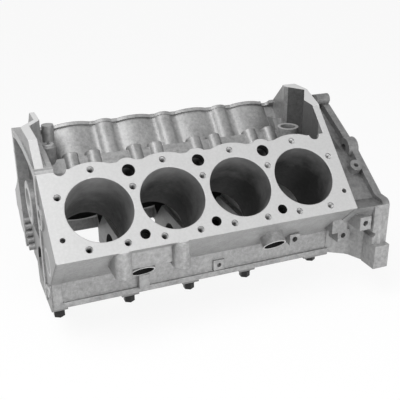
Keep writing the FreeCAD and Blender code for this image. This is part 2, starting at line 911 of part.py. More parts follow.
# Caps and bolts

def cap_sizes(i):
    """Thickness, depth, shoulder and ear depth of one cap; the first and last differ."""
    if i == 0:
        return front_cap_thickness, cap_depth, cap_shoulder, cap_ear_depth
    if i == len(cap_x) - 1:
        return rear_cap_thickness, rear_cap_depth, rear_cap_shoulder, rear_cap_ear_depth
    return cap_thickness, cap_depth, cap_shoulder, cap_ear_depth


def bolt_seat(i, y):
    """Height of the face under a bolt's head."""
    thickness, depth, shoulder, ear = cap_sizes(i)
    return -depth if y < shoulder else -ear


def main_cap(i):
    """One main bearing cap, with the lower half of the bearing bore."""
    thickness, depth, shoulder, ear = cap_sizes(i)
    x = cap_x[i]
    w = cap_width / 2.0 - cap_side_clearance
    section = mirrored([
        (-w, 0.0), (-w, -ear), (-shoulder, -ear), (-shoulder + cap_chamfer / 4.0, -depth + cap_chamfer),
        (-shoulder + cap_chamfer / 2.0, -depth), (0.0, -depth),
    ])
    cap = prism(section, x - thickness / 2.0, x + thickness / 2.0)
    cuts = [along_x(-far, far, 0, 0, main_bore_diameter / 2.0)]
    radius = cap_bolt_diameter / 2.0 + cap_bolt_clearance
    for y, reach in cap_bolts:
        for side in SIDES:
            cuts.append(upright(x, side * y, radius, -depth - 1.0, 1.0))
    return cap.cut(cuts)


def cap_bolt(i, y, reach):
    """A flanged cap bolt, screwed up through a cap into its bulkhead."""
    x = cap_x[i]
    seat = bolt_seat(i, abs(y))
    head = seat - bolt_flange_thickness
    shank = upright(x, y, cap_bolt_diameter / 2.0, head, reach)
    flange = upright(x, y, bolt_flange_diameter / 2.0, head, seat)
    corner = hex_across_flats / math.sqrt(3.0)
    ring = []
    for k in range(6):
        turn = math.radians(60 * k + 30)
        ring.append(V(x + corner * math.cos(turn), y + corner * math.sin(turn), head))
    hexagon = Part.Face(closed(ring)).extrude(V(0, 0, -hex_height))
    return shank.multiFuse([flange, hexagon])


def save(shape, name):
    shape.exportStep("parts/%s.step" % name)
    print(name, "solids", len(shape.Solids), "valid", shape.isValid(), "litres %.3f" % (shape.Volume / 1e6))


os.makedirs("parts", exist_ok=True)
save(cylinder_block(), "cylinder_block")
for i in range(len(cap_x)):
    save(main_cap(i), "main_cap_%d" % (i + 1))
for (offset, reach), name in zip(cap_bolts, ("inner_main_bolts", "outer_main_bolts")):
    bolts = [cap_bolt(i, side * offset, reach) for i in range(len(cap_x)) for side in SIDES]
    save(Part.makeCompound(bolts), name)
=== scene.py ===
# %% [markdown]
# # A bare engine block
#
# The block is one grey iron casting. Sand gave most of it a fine, dull grain. A milling cutter
# then flattened the faces that carry gaskets, and a boring bar and a hone opened the cylinders.
# The shapes come ready from the CAD model. This lesson dresses them: it builds the finishes,
# adds the small features a foundry and a machine shop leave behind, and lights the result.

import math

import bmesh
import bpy
from mathutils import Matrix, Quaternion, Vector


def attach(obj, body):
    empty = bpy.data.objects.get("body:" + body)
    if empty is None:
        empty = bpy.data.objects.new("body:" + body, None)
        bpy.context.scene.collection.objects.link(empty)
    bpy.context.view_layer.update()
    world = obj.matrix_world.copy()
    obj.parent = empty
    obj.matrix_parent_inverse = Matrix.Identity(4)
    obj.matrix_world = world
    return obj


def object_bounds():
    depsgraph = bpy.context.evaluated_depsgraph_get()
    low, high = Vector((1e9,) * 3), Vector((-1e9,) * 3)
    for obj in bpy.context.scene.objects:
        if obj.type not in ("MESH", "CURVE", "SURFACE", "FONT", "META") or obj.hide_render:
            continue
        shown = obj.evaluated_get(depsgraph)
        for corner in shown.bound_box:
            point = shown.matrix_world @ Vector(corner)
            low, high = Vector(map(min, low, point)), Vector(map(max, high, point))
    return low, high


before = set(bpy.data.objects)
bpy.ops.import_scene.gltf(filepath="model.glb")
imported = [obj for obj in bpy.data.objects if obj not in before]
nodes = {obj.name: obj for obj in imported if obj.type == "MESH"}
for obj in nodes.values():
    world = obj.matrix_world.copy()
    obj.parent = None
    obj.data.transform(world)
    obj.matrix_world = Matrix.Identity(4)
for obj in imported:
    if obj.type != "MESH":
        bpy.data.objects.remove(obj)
cad_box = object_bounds()
print("nodes:", ", ".join(sorted(nodes)))

# %% [markdown]
# ## The block's own coordinates
#
# Nearly every feature of a V block belongs to one of its two banks. Each bank leans 45 degrees
# from the upright, so it helps to have a position along the crankshaft, a distance across the
# deck and a height along the bores. All places could be typed in X, Y and Z instead, but then a
# slanted deck would hide that its rows of holes are straight. The dimensions below are the
# machinist's driving ones.

# %% Driving dimensions, in metres
BORE_SPACING = 0.12294
BANK_STAGGER = 0.025
BORE_RADIUS = 0.055
DECK_HEIGHT = 0.2489
CAM_HEIGHT = 0.1309
MAIN_RADIUS = 0.0373
CAM_RADIUS = 0.027
PAN_RAIL = -0.005
END_RAIL = 0.272
BELL_FACE = 0.323
TIMING_FACE = -0.286
TIMING_FLOOR = -0.264
CAM_BOSS_FACE = -0.284
DISTRIBUTOR_X = 0.236
DISTRIBUTOR_TOP = 0.209
DISTRIBUTOR_RING_RADIUS = 0.0215
WATER_HOLES = ((0.0596, 0.011), (-0.0535, 0.0085))
CORE_PLUG_HEIGHT = 0.176
CORE_PLUG_RADIUS = 0.019
CORE_PLUG_FACE = -0.0935
VALLEY_BOLTS_ACROSS = 0.0702
MIDDLE_BOLTS_ACROSS = 0.0304
OUTER_BOLTS_ACROSS = -0.0624
OUTER_BOLT_SHIFT = 0.031
LEAN = math.radians(45.0)
LEFT = -1
RIGHT = 1


def bore_positions(side):
    """Where a bank's four bores sit along the crankshaft."""
    return [(i - 1.5) * BORE_SPACING + side * BANK_STAGGER / 2 for i in range(4)]


def bank_point(side, x, across, height):
    """A point from its place along the crank, across the deck and up the bores."""
    y = side * (height * math.sin(LEAN) - across * math.cos(LEAN))
    z = height * math.cos(LEAN) + across * math.sin(LEAN)
    return Vector((x, y, z))


print("left bores at", [round(x, 4) for x in bore_positions(LEFT)])

# %% [markdown]
# ## A small language for shader maths
#
# A cast block with machined faces needs masks: "is this point on a deck?", "is it inside a
# bore?". They could be painted by hand or wired node by node, but a painted mask goes stale when
# a size changes, and hundreds of wired nodes can't be read. The class below wraps a socket and
# lets ordinary Python operators add the Math nodes.

# %% Shader expressions


class Expr:
    """A number in a material, as an expression on its nodes."""

    def __init__(self, tree, socket):
        self.tree = tree
        self.socket = socket

    def math(self, operation, *others):
        node = self.tree.nodes.new("ShaderNodeMath")
        node.operation = operation
        for place, value in enumerate((self,) + others):
            if isinstance(value, Expr):
                self.tree.links.new(value.socket, node.inputs[place])
            else:
                node.inputs[place].default_value = value
        return Expr(self.tree, node.outputs[0])

    def __add__(self, other):
        return self.math("ADD", other)

    __radd__ = __add__

    def __mul__(self, other):
        return self.math("MULTIPLY", other)

    __rmul__ = __mul__

    def __sub__(self, other):
        return self.math("SUBTRACT", other)

    def __rsub__(self, other):
        return (self * -1.0) + other

    def __abs__(self):
        return self.math("ABSOLUTE")

    def below(self, limit):
        """1 where the value is less than the limit, else 0."""
        return self.math("LESS_THAN", limit)

    def above(self, limit):
        return self.math("GREATER_THAN", limit)

    def largest(self, other):
        return self.math("MAXIMUM", other)

    def smallest(self, other):
        return self.math("MINIMUM", other)


print("shader expressions ready")

# %% Materials under construction


class Finish:
    """A material under construction: its nodes, its shader and the point being shaded."""

    def __init__(self, name):
        self.material = bpy.data.materials.new(name)
        self.material.use_nodes = True
        self.tree = self.material.node_tree
        self.shader = self.tree.nodes["Principled BSDF"]
        self.place = self.node("ShaderNodeTexCoord").outputs["Object"]
        split = self.node("ShaderNodeSeparateXYZ", {}, {"Vector": self.place})
        self.x, self.y, self.z = (Expr(self.tree, split.outputs[i]) for i in range(3))

    def node(self, kind, settings=None, sockets=None):
        """Adds one node, sets its own settings first and then its sockets."""
        made = self.tree.nodes.new(kind)
        for name, value in (settings or {}).items():
            setattr(made, name, value)
        for name, value in (sockets or {}).items():
            if isinstance(value, Expr):
                self.tree.links.new(value.socket, made.inputs[name])
            elif isinstance(value, bpy.types.NodeSocket):
                self.tree.links.new(value, made.inputs[name])
            else:
                made.inputs[name].default_value = value
        return made

    def noise(self, scale, detail=3.0, roughness=0.55):
        sockets = {"Vector": self.place, "Scale": scale, "Detail": detail, "Roughness": roughness}
        return Expr(self.tree, self.node("ShaderNodeTexNoise", {}, sockets).outputs["Fac"])

    def mix(self, mask, low, high):
        """One colour where the mask is 0 and another where it is 1."""
        made = self.tree.nodes.new("ShaderNodeMix")
        made.data_type = "RGBA"
        made.clamp_factor = True
        self.tree.links.new(mask.socket, made.inputs["Factor"])
        for name, value in (("A", low), ("B", high)):
            socket = next(s for s in made.inputs if s.name == name and s.type == "RGBA")
            if isinstance(value, bpy.types.NodeSocket):
                self.tree.links.new(value, socket)
            else:
                socket.default_value = value
        return next(s for s in made.outputs if s.type == "RGBA")

    def feed(self, name, value):
        """Joins an expression, a link or a plain value to one of the shader's sockets."""
        if isinstance(value, Expr):
            self.tree.links.new(value.socket, self.shader.inputs[name])
        elif isinstance(value, bpy.types.NodeSocket):
            self.tree.links.new(value, self.shader.inputs[name])
        else:
            self.shader.inputs[name].default_value = value


def grey(value):
    """A neutral colour."""
    return (value, value, value, 1.0)


print("materials can be built")

# %% [markdown]
# ## Cast iron, milled iron and honed iron
#
# One casting carries three finishes. The sand face is a mid grey with a fine pebbled grain and soft
# corners. The decks, the gasket faces and the tops of the end walls are milled: brighter, smoother
# and flat. The bores are honed and sit in shade; their colour is painted darker with depth and
# towards the rear of the block, as painted shade.
# Each finish could be a material of its own on picked faces, but the edges between them would
# then depend on the mesh.
# A mask for each is worked out from the place of the point alone, so the same material holds
# over the whole casting. What repeats with every cylinder is masked once: the position along
# the crankshaft is wrapped to one bore spacing, so one circle stands for all four.

# %% Masks for flat faces
FACE_TOLERANCE = 0.0004
DECK_OUTER_EDGE = -0.0785
CAM_BOSS_REACH = 0.0405


def near(value, target, tolerance):
    return abs(value - target).below(tolerance)


def inside_round(a, b, radius):
    """1 within a circle of the radius round a = b = 0."""
    return (a * a + b * b).below(radius * radius)


def bank_axes(finish, side):
    """Across and height of the shaded point in one bank's coordinates."""
    y = finish.y * float(side)
    height = y * math.sin(LEAN) + finish.z * math.cos(LEAN)
    across = finish.z * math.sin(LEAN) - y * math.cos(LEAN)
    return across, height


def milled_mask(finish):
    """The gasket faces, the tops of the end walls, and the bright wall of the camshaft bore."""
    mask = None
    for side in (LEFT, RIGHT):
        across, height = bank_axes(finish, side)
        deck = near(height, DECK_HEIGHT, FACE_TOLERANCE) * across.above(DECK_OUTER_EDGE)
        mask = deck if mask is None else mask.largest(deck)
    for value, face in ((finish.z, PAN_RAIL), (finish.z, END_RAIL),
                        (finish.x, BELL_FACE), (finish.x, TIMING_FACE)):
        mask = mask.largest(near(value, face, FACE_TOLERANCE))
    above_cam = finish.z - CAM_HEIGHT
    mask = mask.largest(inside_round(finish.y, above_cam, CAM_RADIUS + FACE_TOLERANCE))
    cam_boss = inside_round(finish.y, above_cam, CAM_BOSS_REACH)
    mask = mask.largest(cam_boss * near(finish.x, CAM_BOSS_FACE, FACE_TOLERANCE))
    ring = inside_round(finish.x - DISTRIBUTOR_X, finish.y, DISTRIBUTOR_RING_RADIUS)
    return mask.largest(ring * near(finish.z, DISTRIBUTOR_TOP, FACE_TOLERANCE))


print("flat face masks ready")

# %% [markdown]
# ## Walls of the holes
#
# The bores, the water passages and the tapped holes each have a wall of their own colour: the bores
# and the water passages are painted darker as painted shade, and the tapped holes are brighter. Their
# walls could be separate materials on picked faces, but the casting is one mesh of thousands of
# triangles, so picking is laborious. A circle across the axis of the hole, cut off at both ends,
# finds the same wall from the place of the point. Each wall starts a fraction of a millimetre below
# the deck, so that the edge itself stays bright.

# %% Masks for holes
BANK_REACH = 0.245
BOLT_REACH = 0.2535
PASSAGE_REACH = 0.2
BOLT_WALL_RADIUS = 0.0062
BORE_LOWER_END = 0.078
HOLE_LOWER_END = 0.2
BORE_DEPTH_SEEN = 0.13


def along_bank(finish, side, shift):
    """Distance along the crankshaft from the nearest of a row of places, one per cylinder."""
    start = side * BANK_STAGGER / 2 + BORE_SPACING / 2 + shift
    return (finish.x - start).math("WRAP", BORE_SPACING / 2, -BORE_SPACING / 2)


def within_bank(finish, side, reach):
    """1 as far as the reach from the middle of a bank, so that the row ends with the casting."""
    return abs(finish.x - side * BANK_STAGGER / 2).below(reach)


def honed_mask(finish):
    """The walls of the eight bores and of the main bearing bore."""
    mask = inside_round(finish.y, finish.z, MAIN_RADIUS + FACE_TOLERANCE)
    for side in (LEFT, RIGHT):
        across, height = bank_axes(finish, side)
        high = height.above(BORE_LOWER_END) * height.below(DECK_HEIGHT - 0.0009)
        bore = inside_round(along_bank(finish, side, 0.0), across, BORE_RADIUS + FACE_TOLERANCE)
        mask = mask.largest(bore * high * within_bank(finish, side, BANK_REACH))
    return mask


def passage_mask(finish):
    """The water passages in the decks and the core plug holes, painted black inside as painted shade.
    """
    mask = None
    for side in (LEFT, RIGHT):
        across, height = bank_axes(finish, side)
        step = along_bank(finish, side, BORE_SPACING / 2)
        below_deck = height.below(DECK_HEIGHT - 0.0005) * height.above(HOLE_LOWER_END)
        below_deck = below_deck * within_bank(finish, side, PASSAGE_REACH)
        for place, radius in WATER_HOLES:
            hole = inside_round(step, across - place, radius + 0.0003) * below_deck
            mask = hole if mask is None else mask.largest(hole)
        end_gap = near(abs(finish.x - side * BANK_STAGGER / 2), BORE_SPACING, 0.03)
        plug = inside_round(step, height - CORE_PLUG_HEIGHT, CORE_PLUG_RADIUS + 0.0003) * end_gap
        mask = mask.largest(plug * across.below(-0.04) * across.above(CORE_PLUG_FACE + 0.0003))
    return mask


def bolt_hole_mask(finish):
    """The walls of the head bolt holes, bright where the tap cut them."""
    mask = None
    for side in (LEFT, RIGHT):
        across, height = bank_axes(finish, side)
        below_deck = height.below(DECK_HEIGHT - 0.0003) * height.above(HOLE_LOWER_END)
        rows = ((BORE_SPACING / 2, MIDDLE_BOLTS_ACROSS), (0.0, VALLEY_BOLTS_ACROSS),
                (-OUTER_BOLT_SHIFT, OUTER_BOLTS_ACROSS), (OUTER_BOLT_SHIFT, OUTER_BOLTS_ACROSS))
        holes = None
        for shift, place in rows:
            row = inside_round(along_bank(finish, side, shift), across - place, BOLT_WALL_RADIUS)
            holes = row if holes is None else holes.largest(row)
        holes = holes * below_deck * within_bank(finish, side, BOLT_REACH)
        mask = holes if mask is None else mask.largest(holes)
    return mask


def bore_shade_depth(finish):
    """0 at the deck, growing to 1 at the lower end of the bores; it sets how much painted shade
    darkens the bore walls.
    """
    depth = None
    for side in (LEFT, RIGHT):
        across, height = bank_axes(finish, side)
        down = (DECK_HEIGHT - height) * (1.0 / BORE_DEPTH_SEEN)
        depth = down if depth is None else depth.smallest(down)
    return depth.largest(0.0).smallest(1.0)


print("hole masks ready")

# %% [markdown]
# ## Painted shade in corners and hollows
#
# Sand faces that no tool touched and that lie in a corner or a hollow are painted darker, as painted
# shade: the wall behind the valley, the upper side of the rear end and the floor of the timing
# hollow. The shade could come from an ambient occlusion node, but that costs time in every render and
# also darkens clean corners. Boxes in the block's coordinates say exactly where the painted shade
# goes.

# %% Masks for painted shade
END_WALL_START = 0.2395
END_WALL_REAR = 0.2945
END_WALL_FOOT = 0.17
END_WALL_STEPS = ((0.0, 0.019), (0.06, 0.014))
END_WALL_SIDES = (-0.105, 0.086)
NECK_START = 0.2535
NECK_FOOT = 0.118
RECESS_HALF_WIDTH = 0.112


def corner_shade_mask(finish):
    """The end wall behind the valley, painted darker as painted shade, without the ring before it."""
    start = finish.x
    for y, step in END_WALL_STEPS:
        start = start - finish.y.above(y) * step
    inside = start.above(END_WALL_START) * finish.x.below(END_WALL_REAR)
    inside = inside * finish.z.above(END_WALL_FOOT) * finish.z.below(END_RAIL - 0.0005)
    inside = inside * finish.y.above(END_WALL_SIDES[0]) * finish.y.below(END_WALL_SIDES[1])
    ring = inside_round(finish.x - DISTRIBUTOR_X, finish.y, DISTRIBUTOR_RING_RADIUS)
    return inside * (1 - ring * finish.z.below(DISTRIBUTOR_TOP + 0.0005))


def neck_shade_mask(finish):
    """The upper side of the rear end, between the banks and the flange, painted darker as painted
    shade.
    """
    behind = (finish.x - finish.y.above(0.0) * BANK_STAGGER).above(NECK_START)
    return behind * finish.z.above(NECK_FOOT) * finish.x.below(BELL_FACE - 0.0005)


def recess_shade_mask(finish):
    """The rough floor of the recess behind the timing cover, painted darker as painted shade."""
    floor_plane = near(finish.x, TIMING_FLOOR, FACE_TOLERANCE)
    return floor_plane * abs(finish.y).below(RECESS_HALF_WIDTH) * finish.z.above(0.0)


print("skin masks ready")

# %% [markdown]
# ## One material for the whole casting
#
# Three noises stand for what sand and tools leave: broad patches, a mottle of a few millimetres and a
# fine grain. A picture of iron could be wrapped round instead, but it would stretch over walls that
# turn every way, while noise in Object coordinates doesn't. The masks then lay one finish or painted
# shade over another, from the cast skin up to the painted black of the deepest holes. The Bevel node
# rounds the edges in the shading, as the radii of a sand mould do.

# %% The block's material
iron = Finish("grey iron, cast and machined")
milled = milled_mask(iron)
honed = honed_mask(iron)
passage = passage_mask(iron)
blotch = iron.noise(22.0, 4.0, 0.6)
mottle = iron.noise(150.0, 3.0, 0.65)
grain = iron.noise(700.0, 3.0, 0.6)
cutter = iron.noise(260.0, 2.0, 0.5)
patches = blotch * 0.5 + mottle * 0.9 - 0.2
cast_colour = iron.mix(patches, grey(0.12), grey(0.45))
# Painted shade: darker copies of the cast colour, one for the rear end and one for corners and
# hollows.
neck_shade_colour = iron.mix(patches, grey(0.065), grey(0.27))
deep_shade_colour = iron.mix(patches, grey(0.05), grey(0.15))
deck_colour = iron.mix(cutter, grey(0.38), grey(0.46))
# Painted shade: the bore walls are painted darker with depth and towards the rear of the block.
rearward_bore_shade = (iron.x + 0.25) * 1.2
bore_colour_and_shade = iron.mix(bore_shade_depth(iron) + (blotch - 0.5) * 1.2 + rearward_bore_shade, grey(0.22), grey(0.02))
# The masks lay the painted shade over the cast colour.
colour = iron.mix(neck_shade_mask(iron), cast_colour, neck_shade_colour)
colour = iron.mix(corner_shade_mask(iron).largest(recess_shade_mask(iron)), colour, deep_shade_colour)
colour = iron.mix(milled, colour, deck_colour)
# Partly painted light: the milled tops of the end walls are painted brighter than the other milled
# faces.
colour = iron.mix(near(iron.z, END_RAIL, FACE_TOLERANCE), colour, grey(0.60))
colour = iron.mix(honed, colour, bore_colour_and_shade)
colour = iron.mix(bolt_hole_mask(iron), colour, grey(0.34))
# Painted shade: the walls of the water passages and core plug holes are painted nearly black.
iron.feed("Base Color", iron.mix(passage, colour, grey(0.012)))
iron.feed("Metallic", 0.40 - milled * 0.15 - honed * 0.40)
iron.feed("Specular IOR Level", 0.3)
iron.feed("Roughness", 0.44 + honed * 0.16 + passage * 0.4 + (mottle - 0.5) * 0.35)
rounded = iron.node("ShaderNodeBevel", {"samples": 4}, {"Radius": 0.0016})
sand = (grain * 0.6 + mottle * 1.4) * (1 - milled.largest(honed))
bump = iron.node("ShaderNodeBump", {}, {"Strength": 0.45, "Distance": 0.0008, "Height": sand,
                                       "Normal": rounded.outputs[0]})
iron.feed("Normal", bump.outputs[0])
nodes["cylinder_block"].data.materials[0] = iron.material
print("cylinder_block dressed with", iron.material.name)

# %% [markdown]
# ## Caps and bolts
#
# The main bearing caps are iron too, sawn and milled on all sides, so they are a little smoother
# than the block. Their bolts are black oxide steel: a thin, dark and slightly glossy skin in
# which only the corners of the hexagons catch the light. Both could share the block's material,
# but then they would sink into it in the shade. Each gets a material of its own with one noise,
# and no masks are needed.

# %% Materials of the caps and bolts
cap_iron = Finish("cap iron")
cloud = cap_iron.noise(40.0, 3.0, 0.5)
cap_iron.feed("Base Color", cap_iron.mix(cloud, grey(0.20), grey(0.30)))
cap_iron.feed("Metallic", 0.5)
cap_iron.feed("Roughness", 0.42 + cloud * 0.12)

black_oxide = Finish("black oxide steel")
film = black_oxide.noise(120.0, 2.0, 0.5)
black_oxide.feed("Base Color", black_oxide.mix(film, grey(0.012), grey(0.03)))
black_oxide.feed("Metallic", 0.6)
black_oxide.feed("Roughness", 0.34 + film * 0.15)

for name, node in nodes.items():
    if name.startswith("main_cap"):
        node.data.materials[0] = cap_iron.material
    elif "bolt" in name:
        node.data.materials[0] = black_oxide.material
print("caps and bolts dressed")

# %% [markdown]
# ## Threads in the head bolt holes
#
# Each deck has seventeen tapped holes, and their threads catch the light as bright crescents. A
# bump texture would stay flat at the mouth of the hole, where the threads are seen best. A
# thread is a small triangular ridge that climbs while it turns, so a profile of three points is
# spun round the hole with a step along the hole at each turn of the spin. One thread is spun, and
# every hole gets a copy of it.

# %% Head bolt threads
HEAD_BOLT_RADIUS = 0.0058
THREAD_PITCH = 0.0018
THREAD_DEPTH = 0.0009
THREAD_TURNS = 8
THREAD_START = 0.0012
STEPS_PER_TURN = 16


def head_bolt_places(side):
    """Position along the crankshaft and across the deck of each head bolt of a bank."""
    xs = bore_positions(side)
    half = BORE_SPACING / 2
    places = [(x, VALLEY_BOLTS_ACROSS) for x in xs]
    places += [(xs[0] - half + i * BORE_SPACING, MIDDLE_BOLTS_ACROSS) for i in range(len(xs) + 1)]
    for x in xs:
        places += [(x + shift, OUTER_BOLTS_ACROSS) for shift in (-OUTER_BOLT_SHIFT, OUTER_BOLT_SHIFT)]
    return places


def thread_shape(radius):
    """One helical ridge round the Z axis, starting at the origin and going down."""
    mesh = bmesh.new()
    down = Vector((0.0, 0.0, -1.0))
    wall = Vector((radius + 0.0001, 0.0, 0.0))
    crest = Vector((radius - THREAD_DEPTH, 0.0, -THREAD_PITCH / 2))
    corners = [mesh.verts.new(v) for v in (wall, crest, wall + down * THREAD_PITCH)]
    edges = [mesh.edges.new(pair) for pair in zip(corners, corners[1:])]
    bmesh.ops.spin(mesh, geom=corners + edges, cent=(0.0, 0.0, 0.0), axis=down,
                   angle=math.tau * THREAD_TURNS, dvec=down * (THREAD_PITCH / STEPS_PER_TURN),
                   steps=THREAD_TURNS * STEPS_PER_TURN, use_duplicate=False)
    bmesh.ops.recalc_face_normals(mesh, faces=mesh.faces)
    shape = bpy.data.meshes.new("thread shape")
    mesh.to_mesh(shape)
    mesh.free()
    return shape


def add_copy(mesh, shape, place):
    """Adds a copy of a shape to a mesh, moved and turned by a matrix."""
    first = len(mesh.verts)
    mesh.from_mesh(shape)
    mesh.verts.ensure_lookup_table()
    bmesh.ops.transform(mesh, matrix=place, verts=mesh.verts[first:])


threads = bmesh.new()
thread = thread_shape(HEAD_BOLT_RADIUS)
for side in (LEFT, RIGHT):
    tilt = Matrix.Rotation(-side * LEAN, 4, "X")
    for x, across in head_bolt_places(side):
        mouth = bank_point(side, x, across, DECK_HEIGHT - THREAD_START)
        add_copy(threads, thread, Matrix.Translation(mouth) @ tilt)
bpy.data.meshes.remove(thread)
print("thread faces:", len(threads.faces))

# %% [markdown]
# ## Turning a mesh into a piece
#
# Every added piece is finished the same way: its mesh becomes an object at the origin, gets its
# material and rides on the block, so it moves with the block and belongs to it. The place could
# be set on the object, but then patterns in Object coordinates would start anew on each piece.
# The threads are the first piece. Their finish is that of a fresh tapped hole: bright, with a
# fine noise for the marks of the tap.

# %% Pieces on the block


def finished_piece(name, mesh, material):
    """An object at the origin that holds the mesh and rides on the block."""
    data = bpy.data.meshes.new(name)
    mesh.to_mesh(data)
    mesh.free()
    data.materials.append(material)
    piece = bpy.data.objects.new(name, data)
    bpy.context.collection.objects.link(piece)
    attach(piece, "root")


tapped = Finish("tapped iron")
swarf = tapped.noise(500.0, 2.0, 0.5)
tapped.feed("Base Color", tapped.mix(swarf, grey(0.30), grey(0.45)))
tapped.feed("Metallic", 0.5)
tapped.feed("Roughness", 0.35 + swarf * 0.1)
finished_piece("head_bolt_threads", threads, tapped.material)
print("threads in", len(head_bolt_places(LEFT)), "holes of each deck")

# %% [markdown]
# ## Seats turned on the casting
#
# Where a sender or a bracket bolts on, the foundry leaves a boss and the machine shop turns a clean
# ring on its end. A Boolean could drill a disc, but it is slow and leaves long faces. Two circles are
# bridged instead, the ring between them is extruded, and its outer edge gets a small chamfer. Where a
# hole should look deep but is only a disc, the disc is painted dark, as painted shade.

# %% Turned rings
CHAMFER = 0.0006


def turned_ring(mesh, centre, axis, outer, inner, thickness, chamfer=CHAMFER):
    """A chamfered ring that stands on a face at the centre and rises along the axis."""
    turn = Vector(axis).to_track_quat("Z", "Y").to_matrix().to_4x4()
    place = Matrix.Translation(centre) @ turn
    ring = bmesh.new()
    for radius in (outer, inner):
        bmesh.ops.create_circle(ring, segments=48, radius=radius)
    bmesh.ops.bridge_loops(ring, edges=ring.edges[:])
    grown = bmesh.ops.extrude_face_region(ring, geom=ring.faces[:])
    top = [v for v in grown["geom"] if isinstance(v, bmesh.types.BMVert)]
    bmesh.ops.translate(ring, verts=top, vec=(0.0, 0.0, thickness))
    rim = [e for e in ring.edges if all(v.co.z > thickness / 2 for v in e.verts)
           and all(v.co.xy.length > (outer + inner) / 2 for v in e.verts)]
    bmesh.ops.bevel(ring, geom=rim, offset=chamfer, offset_type="OFFSET", segments=1, profile=0.5,
                    affect="EDGES", material=-1)
    bmesh.ops.recalc_face_normals(ring, faces=ring.faces)
    shape = bpy.data.meshes.new("ring shape")
    ring.to_mesh(shape)
    ring.free()
    add_copy(mesh, shape, place)
    bpy.data.meshes.remove(shape)


print("ring helper ready")

# %% Materials of the rings and of the blind holes
turned = Finish("turned iron")
lathe = turned.noise(320.0, 2.0, 0.5)
turned.feed("Base Color", turned.mix(lathe, grey(0.42), grey(0.54)))
turned.feed("Metallic", 0.25)
turned.feed("Roughness", 0.42 + lathe * 0.08)

# Painted shade: dark discs stand for the shaded inside of holes.
hole_shade = Finish("painted hole shade")
shade_noise = hole_shade.noise(90.0, 3.0, 0.6)
hole_shade.feed("Base Color", hole_shade.mix(shade_noise, grey(0.02), grey(0.06)))
hole_shade.feed("Roughness", 0.55 + shade_noise * 0.1)
print("two more finishes:", turned.material.name, "and", hole_shade.material.name)

# %% Sender seat
SENDER_PLACE = (-0.2335, 0.0510, 0.2130)
SENDER_SEAT_RADIUS = 0.0112
SENDER_SEAT_HEIGHT = 0.0062
SENDER_HOLE_RADIUS = 0.0055
SENDER_HOLE_FLOOR = 0.003
UPWARD = (0, 0, 1)

sender_seat = bmesh.new()
turned_ring(sender_seat, SENDER_PLACE, UPWARD, SENDER_SEAT_RADIUS, SENDER_HOLE_RADIUS,
            SENDER_SEAT_HEIGHT)
finished_piece("sender_seat", sender_seat, turned.material)

# Painted shade: a dark disc stands for the inside of the sender hole.
sender_hole = bmesh.new()
hole_floor = Vector(SENDER_PLACE) + Vector((0.0, 0.0, SENDER_HOLE_FLOOR))
bmesh.ops.create_circle(sender_hole, cap_ends=True, segments=32, radius=SENDER_HOLE_RADIUS + 0.0002,
                        matrix=Matrix.Translation(hole_floor))
finished_piece("sender_hole", sender_hole, hole_shade.material)
print("sender seat at", SENDER_PLACE)

# %% Core plug rims
CORE_RIM_RADIUS = 0.0213
CORE_RIM_THICKNESS = 0.0006

core_plug_rims = bmesh.new()
for side in (LEFT, RIGHT):
    outward = bank_point(side, 0.0, -1.0, 0.0)
    for gap in (-BORE_SPACING, BORE_SPACING):
        x = gap + side * BANK_STAGGER / 2
        centre = bank_point(side, x, CORE_PLUG_FACE, CORE_PLUG_HEIGHT)
        turned_ring(core_plug_rims, centre, outward, CORE_RIM_RADIUS, CORE_PLUG_RADIUS,
                    CORE_RIM_THICKNESS, CHAMFER / 2)
finished_piece("core_plug_rims", core_plug_rims, turned.material)
print("two core plug rims on each bank")

# %% [markdown]
# ## The front end
#
# The front of the block carries the timing cover. Its seat is a raised rim with tapped holes, the
# wall of its hollow is scalloped by bosses, and a turned face surrounds the camshaft bore. The
# end of the near bank shows the round mouth of a core hole. These could be dents and bumps in the
# material, but the face is seen edge on, where only real thickness shows. Rings and plain
# cylinders make all of it, set on the faces that the casting already has.

# %% Cover bolts and camshaft face
COVER_BOLTS = ((0.1085, 0.015), (0.113, 0.070), (0.117, 0.130), (0.117, 0.190), (0.090, 0.231))
COVER_SEAT_RADIUS = 0.0056
COVER_BOLT_RADIUS = 0.0035
CAM_FACE_RADIUS = 0.035
SUNK = 0.0005
FORWARD = (-1, 0, 0)


def add_cylinder(mesh, radius, start, end, y, z):
    """A plain cylinder along the crankshaft between two places."""
    turn = Matrix.Rotation(math.radians(90.0), 4, "Y")
    place = Matrix.Translation(((start + end) / 2, y, z)) @ turn
    bmesh.ops.create_cone(mesh, cap_ends=True, segments=32, radius1=radius, radius2=radius,
                          depth=abs(end - start), matrix=place)


cover_bolt_seats = bmesh.new()
for side in (LEFT, RIGHT):
    for y, z in COVER_BOLTS:
        seat = (TIMING_FACE, side * y, z)
        turned_ring(cover_bolt_seats, seat, FORWARD, COVER_SEAT_RADIUS, COVER_BOLT_RADIUS - 0.0001,
                    0.0005, 0.0002)
finished_piece("cover_bolt_seats", cover_bolt_seats, turned.material)

cam_face = bmesh.new()
cam_centre = (CAM_BOSS_FACE, 0.0, CAM_HEIGHT)
turned_ring(cam_face, cam_centre, FORWARD, CAM_FACE_RADIUS, CAM_RADIUS, 0.0008, 0.0003)
finished_piece("cam_face", cam_face, turned.material)
print("seats for", 2 * len(COVER_BOLTS), "cover bolts and a face round the camshaft bore")

# %% Wall bosses and core hole
WALL_BOSSES = ((0.106, 0.050), (0.100, 0.038), (0.093, 0.026), (0.085, 0.015), (0.076, 0.005))
WALL_BOSS_RADIUS = 0.0062
WALL_BOSS_FACE = -0.2845
CORE_HOLE_PLACE = (-0.150, 0.086)
CORE_HOLE_RADIUS = 0.019
CORE_HOLE_LIP_RADIUS = 0.0245
CORE_HOLE_LIP_HEIGHT = 0.0022
BANK_FRONT = -0.2809

wall_bosses = bmesh.new()
for y, z in WALL_BOSSES:
    add_cylinder(wall_bosses, WALL_BOSS_RADIUS, TIMING_FLOOR + SUNK, WALL_BOSS_FACE, y, z)
finished_piece("wall_bosses", wall_bosses, iron.material)

